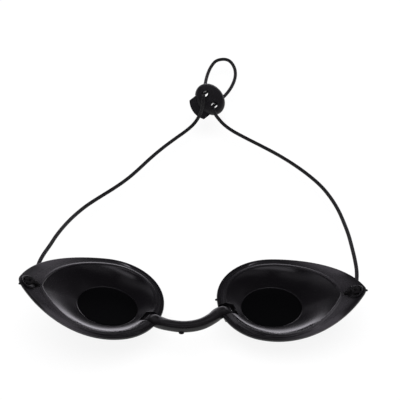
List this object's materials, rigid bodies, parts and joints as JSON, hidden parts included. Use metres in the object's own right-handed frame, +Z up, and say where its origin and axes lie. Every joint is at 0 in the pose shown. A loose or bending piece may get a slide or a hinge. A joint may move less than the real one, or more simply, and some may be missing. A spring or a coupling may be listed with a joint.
{
  "type": "tanning goggles",
  "caption": "Eye-shield goggles lying on their fronts: leaf-shaped eye cups with dark round lenses, a flexible nose bridge and an elastic head cord with a sprung oval cord lock.",
  "frame": {"origin": "on the table, under the middle of the two cups and the bridge as they lie", "axes": "+X to the right cup, +Y from the brow edge of the cups towards the cord lock, +Z up, out of the hollow side of the cups"},
  "size_m": [0.1466, 0.2386, 0.0259],
  "materials": {
    "cup": "glossy bowl, satin brim",
    "lens": "smooth, nearly opaque filter",
    "bridge": "matt",
    "cord": "round braid",
    "lock": "fine matt texture",
    "spring": "drawn wire"
  },
  "bodies": {
    "bridge": {"nose_bridge": "bridge", "cord_left_run": "cord", "cord_right_run": "cord"},
    "left_cup": {"left_eye_cup": "cup", "left_lens": "lens", "left_cord_knot": "cord"},
    "right_cup": {"right_eye_cup": "cup", "right_lens": "lens", "right_cord_knot": "cord"},
    "lock": {"lock_shell": "lock", "lock_spring": "spring", "cord_loop": "cord"},
    "plunger": {"lock_plunger": "lock"}
  },
  "joints": [
    {"name": "left_cup_tilt", "type": "hinge", "parent": "bridge", "child": "left_cup", "pos_m": [-0.015, -0.0111, 0.0048], "axis": [0, 1, 0], "range_deg": [-8, 20], "stiffness_Nm_per_rad": 0.03, "springref_deg": 2.18, "deforming": ["nose_bridge", "cord_left_run"]},
    {"name": "right_cup_tilt", "type": "hinge", "parent": "bridge", "child": "right_cup", "pos_m": [0.0111, -0.0061, 0.0056], "axis": [0, 1, 0], "range_deg": [-20, 8], "stiffness_Nm_per_rad": 0.03, "deforming": ["nose_bridge", "cord_right_run"]},
    {"name": "lock_slide", "type": "slide", "parent": "bridge", "child": "lock", "axis": [0, 1, 0], "range_m": [-0.01, 0.01], "deforming": ["cord_left_run", "cord_right_run"]},
    {"name": "plunger_press", "type": "slide", "parent": "lock", "child": "plunger", "axis": [0.788, 0.3078, 0.5332], "range_m": [0, 0.0022], "stiffness_N_per_m": 300, "springref_m": -0.002, "deforming": ["lock_spring"]}
  ]
}
